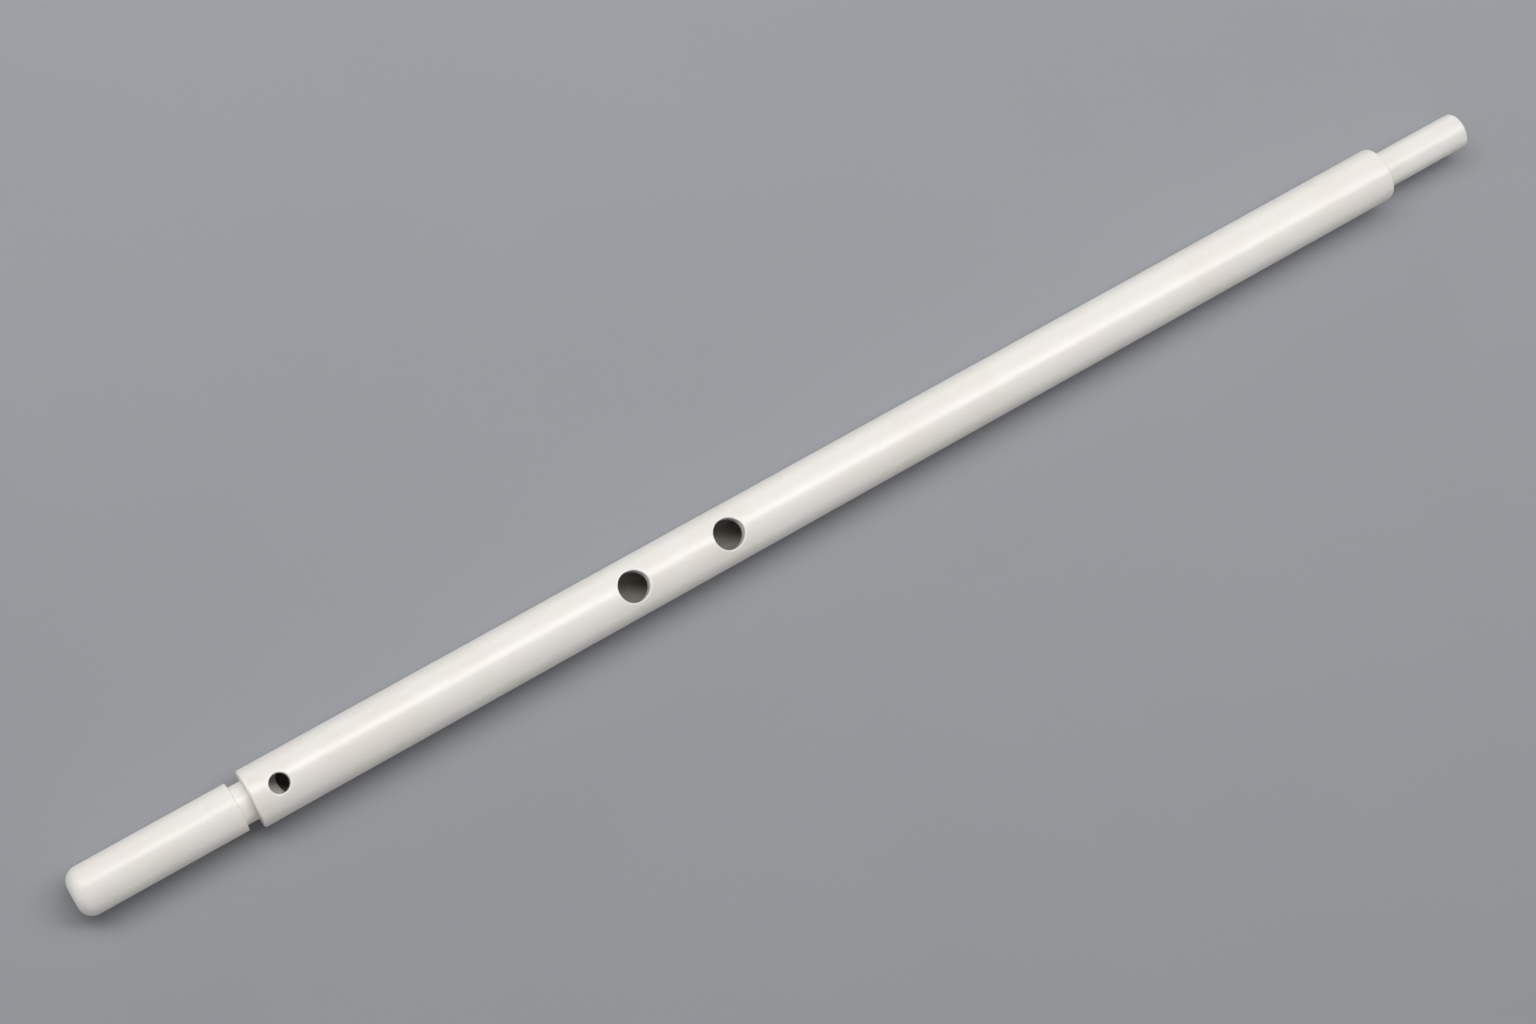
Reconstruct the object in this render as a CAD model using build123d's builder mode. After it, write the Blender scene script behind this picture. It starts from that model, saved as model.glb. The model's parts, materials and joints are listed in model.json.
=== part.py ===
"""A turned zirconia tube, closed at its round nose and open at its thin spigot.

The tube lies along X on the plane Z = 0, with its nose towards -X and its ports facing up.
The origin is on that plane, under the middle of the tube's length. All sizes are in millimetres.
"""

from build123d import *
import os

# Diameters along the outside, from the nose to the open end
journal_diameter = 10.0
groove_diameter = 8.0
body_diameter = 12.0
spigot_diameter = 8.0

# Lengths along the outside, in the same order
journal_length = 33.5
groove_width = 2.7
body_length = 271.5
spigot_length = 22.3

# Edges of the outside
nose_radius = 3.0
journal_edge_radius = 0.15
body_edge_radius = 0.5
shoulder_radius = 0.4
spigot_edge_radius = 0.4

# The blind bore, from the open end to its ball end, whose pole is on the vent's axis
bore_diameter = 6.5
bore_mouth_chamfer = 0.2

# The ports through the upper wall, each placed from the body's face at the groove
vent_diameter = 4.0
vent_position = 5.8
port_diameter = 6.4
port_position = 82.7
port_spacing = 21.8
port_count = 2
port_edge_radius = 0.3

total_length = journal_length + groove_width + body_length + spigot_length
axis_height = body_diameter / 2

nose_x = -total_length / 2
journal_end_x = nose_x + journal_length
body_face_x = journal_end_x + groove_width
shoulder_x = body_face_x + body_length
mouth_x = shoulder_x + spigot_length

tube_axis = Axis((0, 0, axis_height), (1, 0, 0))
half_section = Plane(origin=(0, 0, axis_height), x_dir=(1, 0, 0), z_dir=(0, 1, 0))
vent_x = body_face_x + vent_position
port_xs = [body_face_x + port_position + i * port_spacing for i in range(port_count)]
bore_end_x = vent_x
ball_centre_x = bore_end_x + bore_diameter / 2


def rim(part, x, diameter):
    """The circular edges round the tube's axis at one place along it, of one diameter."""
    circles = part.edges().filter_by(GeomType.CIRCLE)
    here = circles.filter_by_position(Axis.X, x - 0.01, x + 0.01)
    return here.filter_by(lambda edge: abs(edge.radius - diameter / 2) < 0.01)


def port_rims(part):
    """The edges where the vent and the ports break out through the top of the body."""
    above_bore = axis_height + bore_diameter / 2
    curves = part.edges().filter_by(GeomType.LINE, reverse=True)
    return curves.filter_by(lambda edge: edge.bounding_box().min.Z > above_bore)


with BuildPart() as zirconia_tube:
    # Outside: one stepped half section, turned about the tube's axis
    with BuildSketch(half_section):
        with BuildLine():
            Polyline(
                (nose_x, 0),
                (nose_x, journal_diameter / 2),
                (journal_end_x, journal_diameter / 2),
                (journal_end_x, groove_diameter / 2),
                (body_face_x, groove_diameter / 2),
                (body_face_x, body_diameter / 2),
                (shoulder_x, body_diameter / 2),
                (shoulder_x, spigot_diameter / 2),
                (mouth_x, spigot_diameter / 2),
                (mouth_x, 0),
                close=True,
            )
        make_face()
    revolve(axis=tube_axis)

    # Ground edges of the outside
    fillet(rim(zirconia_tube, nose_x, journal_diameter), nose_radius)
    fillet(rim(zirconia_tube, journal_end_x, journal_diameter), journal_edge_radius)
    fillet(rim(zirconia_tube, body_face_x, body_diameter), body_edge_radius)
    fillet(rim(zirconia_tube, shoulder_x, body_diameter), shoulder_radius)
    fillet(rim(zirconia_tube, mouth_x, spigot_diameter), spigot_edge_radius)

    # Bore: a half section with the ball end that a round-tipped mandrel leaves
    with BuildSketch(half_section):
        with BuildLine():
            Line((mouth_x, 0), (bore_end_x, 0))
            RadiusArc((bore_end_x, 0), (ball_centre_x, bore_diameter / 2), bore_diameter / 2)
            Line((ball_centre_x, bore_diameter / 2), (mouth_x, bore_diameter / 2))
            Line((mouth_x, bore_diameter / 2), (mouth_x, 0))
        make_face()
    revolve(axis=tube_axis, mode=Mode.SUBTRACT)
    chamfer(rim(zirconia_tube, mouth_x, bore_diameter), bore_mouth_chamfer)

    # Ports: drilled from above down to the bore's axis, where the vent keeps half of its flat floor
    with BuildSketch(Plane.XY.offset(axis_height)):
        with Locations((vent_x, 0)):
            Circle(vent_diameter / 2)
        with Locations(*[(x, 0) for x in port_xs]):
            Circle(port_diameter / 2)
    extrude(amount=body_diameter, mode=Mode.SUBTRACT)
    fillet(port_rims(zirconia_tube), port_edge_radius)

zirconia_tube.part.label = "zirconia_tube"

os.makedirs("parts", exist_ok=True)
export_step(zirconia_tube.part, "parts/zirconia_tube.step")
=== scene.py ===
"""A polished zirconia tube lying on a grey floor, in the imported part's frame.

The tube lies along X, with its closed nose towards -X and its ports facing up. Lengths are in metres.
"""

import json
import math

import bmesh
import bpy
from mathutils import Matrix, Vector


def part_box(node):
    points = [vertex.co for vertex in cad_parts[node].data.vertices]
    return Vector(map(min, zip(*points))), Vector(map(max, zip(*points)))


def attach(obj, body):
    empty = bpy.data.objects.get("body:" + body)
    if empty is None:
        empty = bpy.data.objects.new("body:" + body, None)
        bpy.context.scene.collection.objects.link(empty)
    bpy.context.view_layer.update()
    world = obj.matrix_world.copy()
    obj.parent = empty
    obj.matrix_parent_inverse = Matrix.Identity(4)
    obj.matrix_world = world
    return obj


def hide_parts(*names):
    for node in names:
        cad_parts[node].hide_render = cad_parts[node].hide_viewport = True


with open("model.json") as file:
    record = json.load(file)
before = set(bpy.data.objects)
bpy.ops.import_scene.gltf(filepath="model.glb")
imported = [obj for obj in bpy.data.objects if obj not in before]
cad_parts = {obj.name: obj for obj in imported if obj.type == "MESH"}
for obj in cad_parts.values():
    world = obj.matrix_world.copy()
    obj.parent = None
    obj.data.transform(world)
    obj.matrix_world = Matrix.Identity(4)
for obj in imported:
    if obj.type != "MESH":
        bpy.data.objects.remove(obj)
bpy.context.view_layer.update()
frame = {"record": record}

MM = 0.001
mounts = {mount["name"]: mount for mount in frame["record"]["mounts"]}


def radius_of(name):
    """The radius of one of the part's cylindrical interfaces."""
    return mounts[name]["dims"]["r_mm"] * MM


def span_of(name):
    """Where an interface that lies along the tube starts and ends, in X."""
    middle = mounts[name]["pos_m"][0]
    half_length = mounts[name]["dims"]["length_mm"] * MM / 2
    return middle - half_length, middle + half_length


# Edges and the groove, which the interfaces leave out
nose_radius = 3.0 * MM
journal_edge_radius = 0.15 * MM
groove_radius = 4.0 * MM
body_edge_radius = 0.5 * MM
shoulder_radius = 0.4 * MM
spigot_edge_radius = 0.4 * MM
mouth_chamfer = 0.2 * MM
port_edge_radius = 0.3 * MM

# Places along the tube, from the frame
tube_low, tube_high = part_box("zirconia_tube")
nose_x = tube_low.x
journal_end_x = span_of("journal")[1] + journal_edge_radius
body_face_x = span_of("body")[0] - body_edge_radius
shoulder_x = span_of("spigot")[0]
mouth_x = tube_high.x
ball_centre_x = span_of("bore")[0]
axis_height = mounts["body"]["pos_m"][2]

journal_radius = radius_of("journal")
body_radius = radius_of("body")
spigot_radius = radius_of("spigot")
bore_radius = radius_of("bore")

# How finely the tube's surfaces are divided, and how far a ring runs beside each edge
OUTER_COLUMNS = 192
BORE_COLUMNS = 96
SUPPORT = 0.45 * MM
BALL_RINGS = 24
MERGE_WITHIN = 0.0005 * MM
SMOOTH_BELOW = math.radians(28)

# The order of the tube's materials
POLISHED, DRILLED, FIRED = range(3)

# Each hole through the upper wall: its mount, the rings of faces that it is cut into, and its wall's finish
HOLES = [
    {"name": "vent", "rings": 16, "wall": DRILLED},
    {"name": "port_near_nose", "rings": 24, "wall": POLISHED},
    {"name": "port_near_middle", "rings": 24, "wall": POLISHED},
]
PORTS = [hole for hole in HOLES if hole["wall"] == POLISHED]
PATCH_MARGIN = 1.0 * MM

# Colours of each finish: a pale tone, and the warm and rosy patches in it
PALE_WHITE = (0.828, 0.81, 0.768, 1)
WARM_WHITE = (0.823, 0.788, 0.733, 1)
ROSY_WHITE = (0.838, 0.792, 0.763, 1)
# Darker than the outside, partly for the vent's duller drilled surface and partly as painted shade inside
# it
SHADED_DRILLED_PALE = (0.56, 0.535, 0.5, 1)
SHADED_DRILLED_WARM = (0.52, 0.485, 0.43, 1)
SHADED_DRILLED_ROSY = (0.54, 0.505, 0.485, 1)
# Much darker than the outside, partly for the bore's duller fired surface and partly as painted shade deep
# in the tube
SHADED_FIRED_PALE = (0.34, 0.318, 0.288, 1)
SHADED_FIRED_WARM = (0.306, 0.28, 0.242, 1)
SHADED_FIRED_ROSY = (0.33, 0.302, 0.285, 1)

# The polished band round each hole, whose lighter colour is a painted highlight on its rounded rim
PAINTED_RIM_HIGHLIGHT = (0.9, 0.885, 0.855, 1)
RIM_WIDTH = 0.35 * MM

# The background, and the two tones of the floor before it
FLOOR_GREY = (0.326, 0.336, 0.356, 1)
FLOOR_LIGHT = (0.33, 0.34, 0.36, 1)
FLOOR_DARK = (0.322, 0.332, 0.352, 1)

# The index that sets how strongly each finish mirrors its surroundings
GLOSS_IOR = 1.5

# The floor's half width, and the point that the lamps are aimed at
FLOOR_REACH = 4.0
LAMP_AIM = Vector((0.15, 0, axis_height))

# The share of the background's grey that lights the tube
AMBIENT = 0.05


def hole_x(hole):
    """Where a hole's axis is along the tube."""
    return mounts[hole["name"]]["pos_m"][0]


def patch_reach(hole):
    """Half the length, along the tube, of the patch of faces that a hole is cut into."""
    return radius_of(hole["name"]) + PATCH_MARGIN


def ring_places(hole):
    """The X of each ring of vertices across a hole's patch."""
    half_width = patch_reach(hole)
    return [hole_x(hole) + half_width * (2 * i / hole["rings"] - 1) for i in range(hole["rings"] + 1)]


def outer_profile():
    """The outside from the nose to the mouth, as (x, radius), with rings beside each edge and hole."""
    profile = [
        (nose_x, 0.0),
        (nose_x, journal_radius),
        (nose_x + nose_radius + SUPPORT, journal_radius),
        (journal_end_x - journal_edge_radius - SUPPORT, journal_radius),
        (journal_end_x, journal_radius),
        (journal_end_x, groove_radius),
        (body_face_x, groove_radius),
        (body_face_x, body_radius - body_edge_radius - SUPPORT),
        (body_face_x, body_radius),
        (body_face_x + body_edge_radius + SUPPORT, body_radius),
    ]
    for hole in HOLES:
        profile += [(x, body_radius) for x in ring_places(hole)]
    profile += [
        (shoulder_x - shoulder_radius - SUPPORT, body_radius),
        (shoulder_x, body_radius),
        (shoulder_x, body_radius - shoulder_radius - SUPPORT),
        (shoulder_x, spigot_radius),
        (mouth_x - spigot_edge_radius - SUPPORT, spigot_radius),
        (mouth_x, spigot_radius),
        (mouth_x, 0.0),
    ]
    return profile


def bore_profile():
    """The bore from its ball end to a flare past the mouth, with a ring at each port, as (x, radius)."""
    profile = []
    for i in range(BALL_RINGS + 1):
        angle = math.pi / 2 * i / BALL_RINGS
        profile.append((ball_centre_x - bore_radius * math.cos(angle), bore_radius * math.sin(angle)))
    profile += [(hole_x(port), bore_radius) for port in PORTS]
    flare = 1.0 * MM
    profile += [
        (mouth_x - mouth_chamfer, bore_radius),
        (mouth_x + flare, bore_radius + mouth_chamfer + flare),
        (mouth_x + flare, 0.0),
    ]
    return profile


def turned(profile, columns, first_angle=0.0):
    """A new bmesh with one profile turned about the X axis."""
    bm = bmesh.new()
    across, up = math.sin(first_angle), math.cos(first_angle)
    verts = [bm.verts.new((x, radius * across, radius * up)) for x, radius in profile]
    edges = [bm.edges.new(pair) for pair in zip(verts, verts[1:])]
    bmesh.ops.spin(
        bm,
        geom=verts + edges,
        cent=(0, 0, 0),
        axis=(1, 0, 0),
        angle=2 * math.pi,
        steps=columns,
        use_merge=True,
    )
    bmesh.ops.remove_doubles(bm, verts=bm.verts, dist=MERGE_WITHIN)
    return bm


def bevel(bm, edges, size, segments):
    """Rounds edges to one radius."""
    bmesh.ops.bevel(
        bm,
        geom=edges,
        offset=size,
        offset_type="OFFSET",
        segments=segments,
        profile=0.5,
        affect="EDGES",
        material=-1,
        clamp_overlap=False,
        loop_slide=True,
    )


def round_edge(bm, x, radius, size, segments):
    """Rounds the circular edge at one place along the tube and one radius from its axis."""
    near = 0.01 * MM
    circle = []
    for edge in bm.edges:
        places = [(vert.co.x, math.hypot(vert.co.y, vert.co.z)) for vert in edge.verts]
        if all(abs(at_x - x) < near and abs(at_radius - radius) < near for at_x, at_radius in places):
            circle.append(edge)
    bevel(bm, circle, size, segments)


def cut_patch(bm, bearing, hole):
    """Opens the faces over a hole and gives the edges round the opening.

    Each vertex there keeps the bearing, seen from the hole's axis, that its copies are drawn in to.
    """
    half_width = patch_reach(hole)
    half_angle = 2 * math.pi * hole["rings"] / OUTER_COLUMNS
    over_hole = []
    for face in bm.faces:
        middle = face.calc_center_median()
        if abs(middle.x - hole_x(hole)) < half_width and abs(math.atan2(middle.y, middle.z)) < half_angle:
            over_hole.append(face)
    bmesh.ops.delete(bm, geom=over_hole, context="FACES")
    opening = [edge for edge in bm.edges if edge.is_boundary]
    for vert in {vert for edge in opening for vert in edge.verts}:
        across = math.atan2(vert.co.y, vert.co.z) / half_angle
        along = (vert.co.x - hole_x(hole)) / half_width
        vert[bearing] = math.atan2(across, along)
    return opening


def extrude_loop(bm, loop, place):
    """Extrudes a loop of edges once, puts each new vertex where place says, and gives the new loop."""
    made = bmesh.ops.extrude_edge_only(bm, edges=loop)["geom"]
    verts = {item for item in made if isinstance(item, bmesh.types.BMVert)}
    for vert in verts:
        vert.co = place(vert)
    return [item for item in made if isinstance(item, bmesh.types.BMEdge) and verts.issuperset(item.verts)]


def draw_in(bm, bearing, loop, hole, radius, steps):
    """Extrudes a loop over the body in even steps, to a circle of one radius round a hole's axis."""
    for step in range(steps):
        share = 1 / (steps - step)

        def place(vert):
            end_x = hole_x(hole) + radius * math.cos(vert[bearing])
            end_angle = math.asin(radius * math.sin(vert[bearing]) / body_radius)
            start_angle = math.atan2(vert.co.y, vert.co.z)
            x = vert.co.x + share * (end_x - vert.co.x)
            angle = start_angle + share * (end_angle - start_angle)
            return Vector((x, body_radius * math.sin(angle), body_radius * math.cos(angle)))

        loop = extrude_loop(bm, loop, place)
    return loop


def drill(bm, bearing, hole):
    """Sinks a hole from the top of the body to a flat floor on the tube's axis, with a rounded rim.

    The faces inside its radius, above the body's underside, are its wall and its floor.
    """
    radius = radius_of(hole["name"])
    loop = cut_patch(bm, bearing, hole)
    loop = draw_in(bm, bearing, loop, hole, radius + SUPPORT, steps=2)
    rim = draw_in(bm, bearing, loop, hole, radius, steps=1)
    below_rim = port_edge_radius + SUPPORT
    loop = extrude_loop(bm, rim, lambda vert: vert.co - Vector((0, 0, below_rim)))
    floor_edge = extrude_loop(bm, loop, lambda vert: Vector((vert.co.x, vert.co.y, 0)))
    bmesh.ops.contextual_create(bm, geom=floor_edge)
    bevel(bm, rim, port_edge_radius, segments=6)
    for face in bm.faces:
        middle = face.calc_center_median()
        if middle.z > -SUPPORT and math.hypot(middle.x - hole_x(hole), middle.y) < radius:
            face.material_index = hole["wall"]


def outer_shell():
    """The closed outside with its edges, and the vent and the ports as blind holes."""
    bm = turned(outer_profile(), OUTER_COLUMNS)
    bearing = bm.verts.layers.float.new("bearing")
    for hole in HOLES:
        drill(bm, bearing, hole)
    round_edge(bm, nose_x, journal_radius, nose_radius, segments=20)
    round_edge(bm, journal_end_x, journal_radius, journal_edge_radius, segments=3)
    round_edge(bm, body_face_x, body_radius, body_edge_radius, segments=8)
    round_edge(bm, shoulder_x, body_radius, shoulder_radius, segments=6)
    round_edge(bm, mouth_x, spigot_radius, spigot_edge_radius, segments=6)
    bm.verts.layers.float.remove(bearing)
    return bm


def bore_core():
    """The bore as a closed solid, half a column round so that no edge lies level with the vent's floor."""
    bm = turned(bore_profile(), BORE_COLUMNS, math.pi / BORE_COLUMNS)
    for face in bm.faces:
        face.material_index = FIRED
    return bm


def piece_of(name, bm, materials):
    """A new object from a bmesh, with its faces pointing outwards."""
    bmesh.ops.recalc_face_normals(bm, faces=bm.faces)
    mesh = bpy.data.meshes.new(name)
    bm.to_mesh(mesh)
    bm.free()
    for material in materials:
        mesh.materials.append(material)
    piece = bpy.data.objects.new(name, mesh)
    bpy.context.scene.collection.objects.link(piece)
    return piece


def bored(outside, core):
    """A bmesh of the outside with the bore's core taken out of it."""
    cut = outside.modifiers.new("bore", "BOOLEAN")
    cut.operation = "DIFFERENCE"
    cut.solver = "EXACT"
    cut.object = core
    evaluated = outside.evaluated_get(bpy.context.evaluated_depsgraph_get())
    bm = bmesh.new()
    bm.from_mesh(evaluated.to_mesh())
    evaluated.to_mesh_clear()
    for solid in (outside, core):
        mesh = solid.data
        bpy.data.objects.remove(solid)
        bpy.data.meshes.remove(mesh)
    bmesh.ops.remove_doubles(bm, verts=bm.verts, dist=MERGE_WITHIN)
    return bm


def zirconia_tube(finishes):
    """The whole tube, polished outside and in its ports, with its vent as drilled and its bore as fired,
    both darkened partly by painted shade.
    """
    outside = piece_of("outside", outer_shell(), finishes)
    core = piece_of("core", bore_core(), finishes)
    bm = bored(outside, core)
    bmesh.ops.translate(bm, verts=bm.verts, vec=(0, 0, axis_height))
    for face in bm.faces:
        face.smooth = True
    for edge in bm.edges:
        one_finish = len({face.material_index for face in edge.link_faces}) == 1
        edge.smooth = one_finish and edge.calc_face_angle(0.0) < SMOOTH_BELOW
    return piece_of("tube", bm, finishes)


def new_material(name):
    """A material and its node tree, with the Principled BSDF that every new material has."""
    material = bpy.data.materials.new(name)
    material.use_nodes = True
    return material, material.node_tree, material.node_tree.nodes["Principled BSDF"]


def new_group(name, inputs, outputs):
    """A shader node group: its tree, then the sockets that its own inputs and outputs give inside it."""
    tree = bpy.data.node_groups.new(name, "ShaderNodeTree")
    for label, kind in inputs:
        tree.interface.new_socket(label, in_out="INPUT", socket_type=kind)
    for label, kind in outputs:
        tree.interface.new_socket(label, in_out="OUTPUT", socket_type=kind)
    return tree, tree.nodes.new("NodeGroupInput").outputs, tree.nodes.new("NodeGroupOutput").inputs


def feed(tree, socket, value):
    """Links another socket into this one, or sets it to a plain value."""
    if isinstance(value, bpy.types.NodeSocket):
        tree.links.new(value, socket)
    else:
        socket.default_value = value


def place_group(tree, group, **values):
    """A group's node in a material, with values named as its inputs are, in lower case."""
    node = tree.nodes.new("ShaderNodeGroup")
    node.node_tree = group
    for label, value in values.items():
        feed(tree, node.inputs[label.replace("_", " ").title()], value)
    return node.outputs


def math_node(tree, operation, first, second):
    """Arithmetic on two values, or the larger of them."""
    node = tree.nodes.new("ShaderNodeMath")
    node.operation = operation
    feed(tree, node.inputs[0], first)
    feed(tree, node.inputs[1], second)
    return node.outputs[0]


def vector_node(tree, operation, first, second):
    """A sum of two vectors, or a vector's length."""
    node = tree.nodes.new("ShaderNodeVectorMath")
    node.operation = operation
    feed(tree, node.inputs[0], first)
    feed(tree, node.inputs[1], second)
    return node.outputs["Value" if operation == "LENGTH" else "Vector"]


def noise(tree, place, scale, detail):
    """Soft noise between 0 and 1, with about scale lumps to a metre."""
    node = tree.nodes.new("ShaderNodeTexNoise")
    feed(tree, node.inputs["Vector"], place)
    feed(tree, node.inputs["Scale"], scale)
    node.inputs["Detail"].default_value = detail
    return node.outputs[0]


def remap(tree, value, low, high, at_low=0.0, at_high=1.0):
    """A value carried from one range to another, and held at its ends."""
    node = tree.nodes.new("ShaderNodeMapRange")
    feed(tree, node.inputs["Value"], value)
    feed(tree, node.inputs["From Min"], low)
    feed(tree, node.inputs["From Max"], high)
    node.inputs["To Min"].default_value = at_low
    node.inputs["To Max"].default_value = at_high
    return node.outputs["Result"]


def blend(tree, share, first, second):
    """A colour mixed from two others."""
    node = tree.nodes.new("ShaderNodeMix")
    node.data_type = "RGBA"
    colours = [socket for socket in node.inputs if socket.type == "RGBA"]
    feed(tree, node.inputs[0], share)
    feed(tree, colours[0], first)
    feed(tree, colours[1], second)
    return next(socket for socket in node.outputs if socket.type == "RGBA")


def bump(tree, height, distance, normal=None):
    """A normal tilted by a height, which is worth one distance from 0 to 1."""
    node = tree.nodes.new("ShaderNodeBump")
    node.inputs["Strength"].default_value = 1.0
    node.inputs["Distance"].default_value = distance
    tree.links.new(height, node.inputs["Height"])
    if normal:
        tree.links.new(normal, node.inputs["Normal"])
    return node.outputs["Normal"]


def tube_place(tree):
    """Object coordinates, measured from the tube's axis in the middle of its length."""
    coordinates = tree.nodes.new("ShaderNodeTexCoord")
    mapping = tree.nodes.new("ShaderNodeMapping")
    mapping.inputs["Location"].default_value = (0, 0, -axis_height)
    tree.links.new(coordinates.outputs["Object"], mapping.inputs["Vector"])
    return mapping.outputs["Vector"]


def ceramic_tone():
    """Soft patches of a warm and a rosy tone over a pale one, as dense ceramic has."""
    inputs = [
        ("Place", "NodeSocketVector"),
        ("Pale", "NodeSocketColor"),
        ("Warm", "NodeSocketColor"),
        ("Rosy", "NodeSocketColor"),
        ("Patch Size", "NodeSocketFloat"),
    ]
    tree, given, out = new_group("ceramic_tone", inputs, [("Colour", "NodeSocketColor")])
    rosy_offset = (0.37, 0.11, 0.23)
    rosy_fineness = 1.7
    per_patch = math_node(tree, "DIVIDE", 1.0, given["Patch Size"])
    warm = remap(tree, noise(tree, given["Place"], per_patch, 3.0), 0.42, 0.64)
    apart = vector_node(tree, "ADD", given["Place"], rosy_offset)
    per_rosy_patch = math_node(tree, "MULTIPLY", per_patch, rosy_fineness)
    rosy = remap(tree, noise(tree, apart, per_rosy_patch, 2.0), 0.5, 0.7)
    toned = blend(tree, warm, given["Pale"], given["Warm"])
    tree.links.new(blend(tree, rosy, toned, given["Rosy"]), out["Colour"])
    return tree


def grinding_marks():
    """Fine marks that run round the X axis, one about every pitch along it."""
    inputs = [("Place", "NodeSocketVector"), ("Pitch", "NodeSocketFloat")]
    tree, given, out = new_group("grinding_marks", inputs, [("Height", "NodeSocketFloat")])
    stretch_round = 0.04
    per_mark = math_node(tree, "DIVIDE", 1.0, given["Pitch"])
    drawn_round = vector_node(tree, "MULTIPLY", given["Place"], (1.0, stretch_round, stretch_round))
    tree.links.new(noise(tree, drawn_round, per_mark, 2.0), out["Height"])
    return tree


def fired_grain():
    """The fine grain and the low swells that a fired surface keeps."""
    inputs = [("Place", "NodeSocketVector"), ("Size", "NodeSocketFloat")]
    tree, given, out = new_group("fired_grain", inputs, [("Height", "NodeSocketFloat")])
    per_grain = math_node(tree, "DIVIDE", 1.0, given["Size"])
    tree.links.new(noise(tree, given["Place"], per_grain, 4.0), out["Height"])
    return tree


def hole_rim():
    """The band round a hole through the top of the body: polished after it is drilled, and painted lighter
    as a highlight on its rim.
    """
    inputs = [
        ("Place", "NodeSocketVector"),
        ("Centre X", "NodeSocketFloat"),
        ("Radius", "NodeSocketFloat"),
        ("Width", "NodeSocketFloat"),
    ]
    tree, given, out = new_group("hole_rim", inputs, [("Mask", "NodeSocketFloat")])
    parts = tree.nodes.new("ShaderNodeSeparateXYZ")
    tree.links.new(given["Place"], parts.inputs[0])
    plan = tree.nodes.new("ShaderNodeCombineXYZ")
    tree.links.new(math_node(tree, "SUBTRACT", parts.outputs["X"], given["Centre X"]), plan.inputs["X"])
    tree.links.new(parts.outputs["Y"], plan.inputs["Y"])
    from_centre = vector_node(tree, "LENGTH", plan.outputs[0], (0, 0, 0))
    out_from_wall = math_node(tree, "SUBTRACT", from_centre, given["Radius"])
    widths_out = math_node(tree, "DIVIDE", out_from_wall, given["Width"])
    in_band = remap(tree, widths_out, 0.75, 1.25, 1.0, 0.0)
    on_top = remap(tree, parts.outputs["Z"], 0.0, 1.0 * MM)
    tree.links.new(math_node(tree, "MULTIPLY", in_band, on_top), out["Mask"])
    return tree


def rim_mask(tree, place, rims):
    """Where the rims of all the holes are."""
    masks = []
    for hole in HOLES:
        radius = radius_of(hole["name"])
        rim = place_group(tree, rims, place=place, centre_x=hole_x(hole), radius=radius, width=RIM_WIDTH)
        masks.append(rim["Mask"])
    joined = masks[0]
    for mask in masks[1:]:
        joined = math_node(tree, "MAXIMUM", joined, mask)
    return joined


def polished_zirconia(tone, marks, grain, rims):
    """White zirconia, ground all over and polished most on the body and round its holes, with a highlight
    painted on the band round each hole.
    """
    smooth_roughness, worn_roughness = 0.36, 0.44
    duller_before_body = 0.09
    duller_on_spigot = 0.03
    glossier_on_rim = 0.08
    material, tree, shader = new_material("polished_zirconia")
    shader.inputs["IOR"].default_value = GLOSS_IOR
    shader.inputs["Coat Weight"].default_value = 0.3
    shader.inputs["Coat Roughness"].default_value = 0.2
    shader.inputs["Subsurface Weight"].default_value = 0.7
    shader.inputs["Subsurface Radius"].default_value = (1.0, 0.97, 0.94)
    shader.inputs["Subsurface Scale"].default_value = 1.1 * MM
    place = tube_place(tree)
    rim = rim_mask(tree, place, rims)
    colour = place_group(
        tree, tone, place=place, pale=PALE_WHITE, warm=WARM_WHITE, rosy=ROSY_WHITE, patch_size=11 * MM
    )["Colour"]
    # Painted highlight: the band round each hole is blended towards a lighter white
    tree.links.new(blend(tree, rim, colour, PAINTED_RIM_HIGHLIGHT), shader.inputs["Base Color"])

    parts = tree.nodes.new("ShaderNodeSeparateXYZ")
    tree.links.new(place, parts.inputs[0])
    step = 0.05 * MM
    along = parts.outputs["X"]
    before_body = remap(tree, along, body_face_x - step, body_face_x + step, duller_before_body, 0.0)
    on_spigot = remap(tree, along, shoulder_x - step, shoulder_x + step, 0.0, duller_on_spigot)
    worn = noise(tree, place, 1 / (6 * MM), 3.0)
    handling = remap(tree, worn, 0.3, 0.7, smooth_roughness, worn_roughness)
    roughness = math_node(tree, "ADD", handling, math_node(tree, "ADD", before_body, on_spigot))
    roughness = math_node(tree, "SUBTRACT", roughness, math_node(tree, "MULTIPLY", rim, glossier_on_rim))
    tree.links.new(roughness, shader.inputs["Roughness"])

    low_swells = place_group(tree, grain, place=place, size=2.6 * MM)["Height"]
    ground = place_group(tree, marks, place=place, pitch=0.2 * MM)["Height"]
    swollen = bump(tree, low_swells, 0.026 * MM)
    tree.links.new(bump(tree, ground, 0.002 * MM, swollen), shader.inputs["Normal"])
    return material


def drilled_zirconia(tone, marks):
    """The vent's wall and flat floor, as the drill left them; their colour is darker partly for that duller
    surface and partly as painted shade in the vent.
    """
    material, tree, shader = new_material("drilled_zirconia")
    shader.inputs["Roughness"].default_value = 0.5
    shader.inputs["IOR"].default_value = GLOSS_IOR
    place = tube_place(tree)
    upright = tree.nodes.new("ShaderNodeMapping")
    upright.inputs["Rotation"].default_value = (0, math.pi / 2, 0)
    tree.links.new(place, upright.inputs["Vector"])
    colour = place_group(
        tree, tone, place=place, pale=SHADED_DRILLED_PALE, warm=SHADED_DRILLED_WARM, rosy=SHADED_DRILLED_ROSY, patch_size=4 * MM
    )["Colour"]
    tree.links.new(colour, shader.inputs["Base Color"])
    rings = place_group(tree, marks, place=upright.outputs["Vector"], pitch=0.3 * MM)["Height"]
    tree.links.new(bump(tree, rings, 0.006 * MM), shader.inputs["Normal"])
    return material


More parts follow.
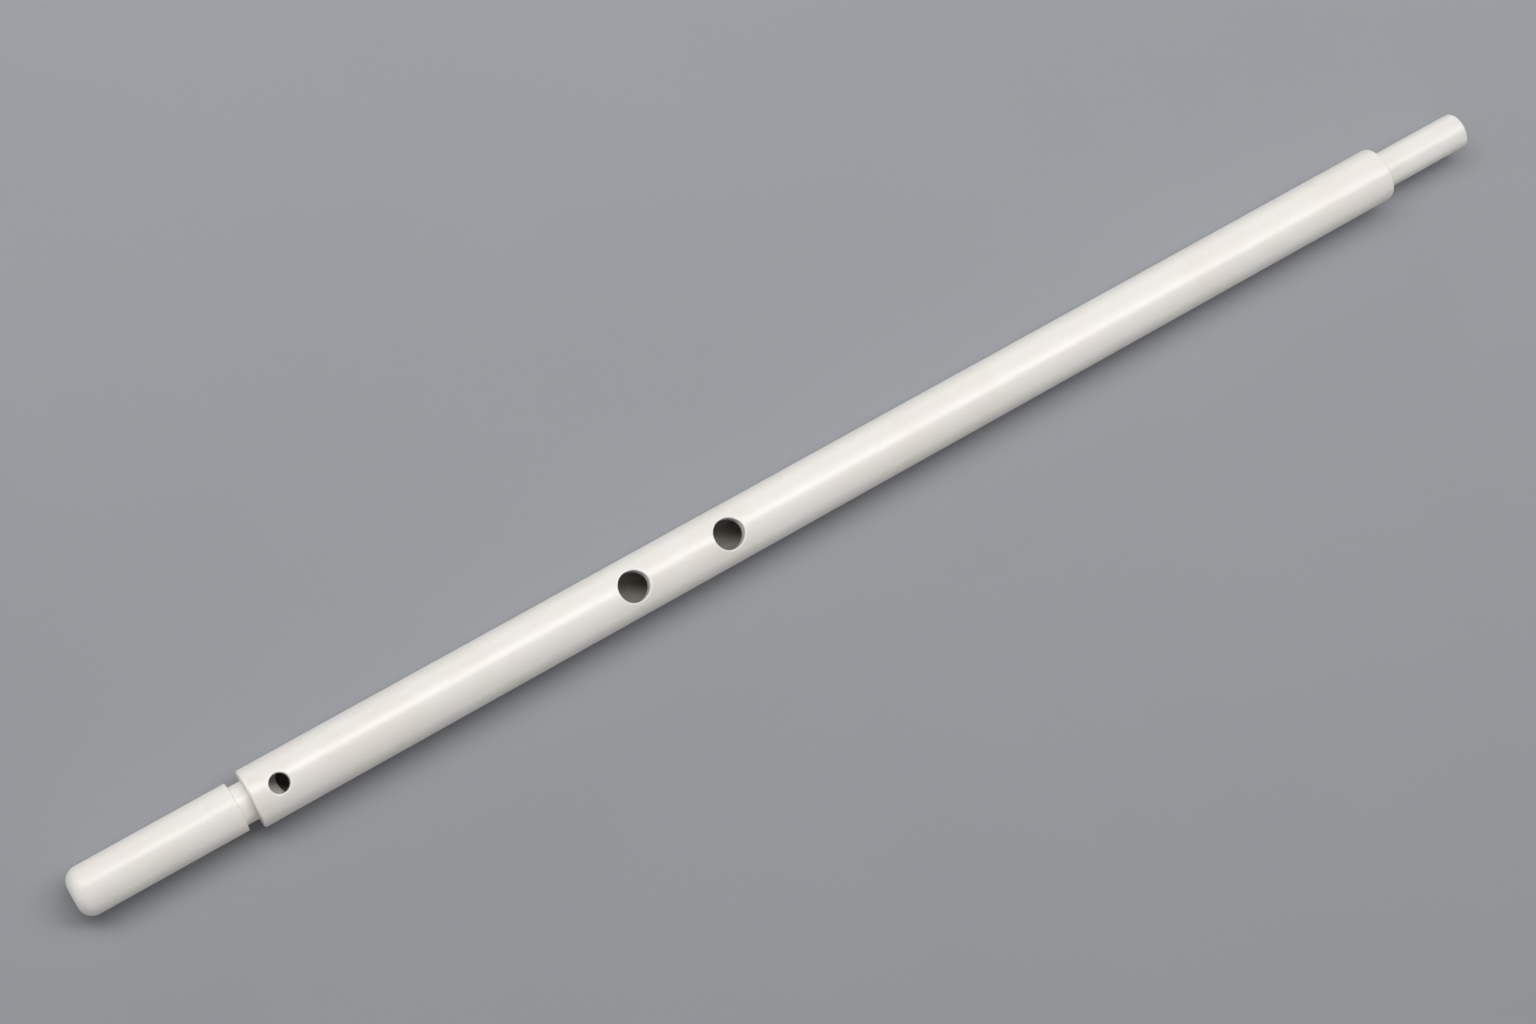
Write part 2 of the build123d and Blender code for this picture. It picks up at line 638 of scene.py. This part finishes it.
def fired_zirconia(tone, grain):
    """The bore, which keeps the dull surface of the kiln; its colour is darker partly for that surface and
    partly as painted shade deep in the tube.
    """
    material, tree, shader = new_material("fired_zirconia")
    shader.inputs["IOR"].default_value = GLOSS_IOR
    place = tube_place(tree)
    colour = place_group(
        tree, tone, place=place, pale=SHADED_FIRED_PALE, warm=SHADED_FIRED_WARM, rosy=SHADED_FIRED_ROSY, patch_size=5 * MM
    )["Colour"]
    tree.links.new(colour, shader.inputs["Base Color"])
    height = place_group(tree, grain, place=place, size=0.5 * MM)["Height"]
    tree.links.new(remap(tree, height, 0.3, 0.7, 0.55, 0.7), shader.inputs["Roughness"])
    tree.links.new(bump(tree, height, 0.02 * MM), shader.inputs["Normal"])
    return material


def floor_material():
    """A smooth matt grey sheet, hardly uneven in tone."""
    material, tree, shader = new_material("grey_floor")
    shader.inputs["Roughness"].default_value = 0.9
    shader.inputs["Specular IOR Level"].default_value = 0.1
    place = tree.nodes.new("ShaderNodeTexCoord").outputs["Object"]
    wide = noise(tree, place, 1 / (60 * MM), 2.0)
    fine = noise(tree, place, 1 / (0.8 * MM), 3.0)
    fine_share = 0.3
    wide_part = math_node(tree, "MULTIPLY", wide, 1 - fine_share)
    fine_part = math_node(tree, "MULTIPLY", fine, fine_share)
    uneven = remap(tree, math_node(tree, "ADD", wide_part, fine_part), 0.3, 0.7)
    tree.links.new(blend(tree, uneven, FLOOR_DARK, FLOOR_LIGHT), shader.inputs["Base Color"])
    return material


def make_floor():
    """The sheet that the tube lies on."""
    bm = bmesh.new()
    bmesh.ops.create_grid(bm, x_segments=1, y_segments=1, size=FLOOR_REACH)
    floor = piece_of("floor", bm, (floor_material(),))


def softbox(name, lean, heading, distance, length, width, turn, radiance):
    """An area lamp aimed at the tube: its lean from the vertical, the way it leans, and its length's turn.

    The three angles are in degrees, and the last two are measured from +X about the vertical.
    """
    lean, heading, turn = (math.radians(angle) for angle in (lean, heading, turn))
    lamp = bpy.data.lights.new(name, "AREA")
    lamp.shape = "RECTANGLE"
    lamp.size = length
    lamp.size_y = width
    lamp.energy = radiance * math.pi * length * width
    holder = bpy.data.objects.new(name, lamp)
    bpy.context.scene.collection.objects.link(holder)
    back = Vector((math.sin(lean) * math.cos(heading), math.sin(lean) * math.sin(heading), math.cos(lean)))
    along = Vector((math.cos(turn), math.sin(turn), 0))
    along = (along - along.dot(back) * back).normalized()
    across = back.cross(along)
    placed = Matrix((along, across, back)).transposed().to_4x4()
    placed.translation = LAMP_AIM + distance * back
    holder.matrix_world = placed


def light_studio():
    """A broad and a narrow softbox lean over the tube, with weak ones in front, low down and at the nose.

    The low ones stand just past the floor's edge, so that no part of it is behind them.
    """
    softbox("broad", lean=26, heading=90, distance=0.9, length=1.8, width=0.42, turn=-24, radiance=1.2)
    softbox("narrow", lean=14, heading=90, distance=0.9, length=1.7, width=0.26, turn=-32, radiance=6.1)
    softbox("fill", lean=40, heading=-90, distance=1.0, length=2.0, width=0.25, turn=0, radiance=0.33)
    softbox("low_front", lean=86, heading=-90, distance=4.2, length=8.4, width=1.26, turn=0, radiance=1.5)
    softbox("low_back", lean=78, heading=90, distance=4.2, length=8.4, width=1.47, turn=0, radiance=0.8)
    softbox("nose_end", lean=79, heading=180, distance=4.2, length=8.4, width=2.1, turn=90, radiance=0.95)
    world = bpy.data.worlds.new("studio")
    world.use_nodes = True
    tree = world.node_tree
    background = tree.nodes["Background"]
    background.inputs["Color"].default_value = FLOOR_GREY
    rays = tree.nodes.new("ShaderNodeLightPath")
    seen = math_node(tree, "MAXIMUM", rays.outputs["Is Camera Ray"], rays.outputs["Is Glossy Ray"])
    seen = math_node(tree, "MAXIMUM", seen, rays.outputs["Is Transmission Ray"])
    tree.links.new(remap(tree, seen, 0.0, 1.0, AMBIENT, 1.0), background.inputs["Strength"])
    bpy.context.scene.world = world


def place_camera():
    """The photograph's view: from above the nose, turned so that the tube runs up to the right."""
    # In the photograph's pixels, with the distance from its middle to where the tube's lines would meet
    photo_width = 1536
    focal_length = 2600
    vanishing_distance = 8923

    lean = math.atan(focal_length / vanishing_distance)
    turn = math.radians(29.033)
    distance = 0.5174
    target_from_nose = 0.1514
    target = Vector((nose_x + target_from_nose, 0, axis_height))
    right = Vector((math.cos(lean) * math.cos(turn), -math.sin(turn), math.sin(lean) * math.cos(turn)))
    up = Vector((math.cos(lean) * math.sin(turn), math.cos(turn), math.sin(lean) * math.sin(turn)))
    back = Vector((-math.sin(lean), 0, math.cos(lean)))
    camera = bpy.data.cameras.new("camera")
    camera.sensor_width = 36
    camera.lens = camera.sensor_width * focal_length / photo_width
    holder = bpy.data.objects.new("camera", camera)
    bpy.context.scene.collection.objects.link(holder)
    placed = Matrix((right, up, back)).transposed().to_4x4()
    placed.translation = target + distance * back
    holder.matrix_world = placed
    bpy.context.scene.camera = holder


tone, marks, grain = ceramic_tone(), grinding_marks(), fired_grain()
polished = polished_zirconia(tone, marks, grain, hole_rim())
tube = zirconia_tube([polished, drilled_zirconia(tone, marks), fired_zirconia(tone, grain)])
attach(tube, "root")
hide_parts("zirconia_tube")
make_floor()
light_studio()
place_camera()
bpy.context.scene.view_settings.view_transform = "Standard"
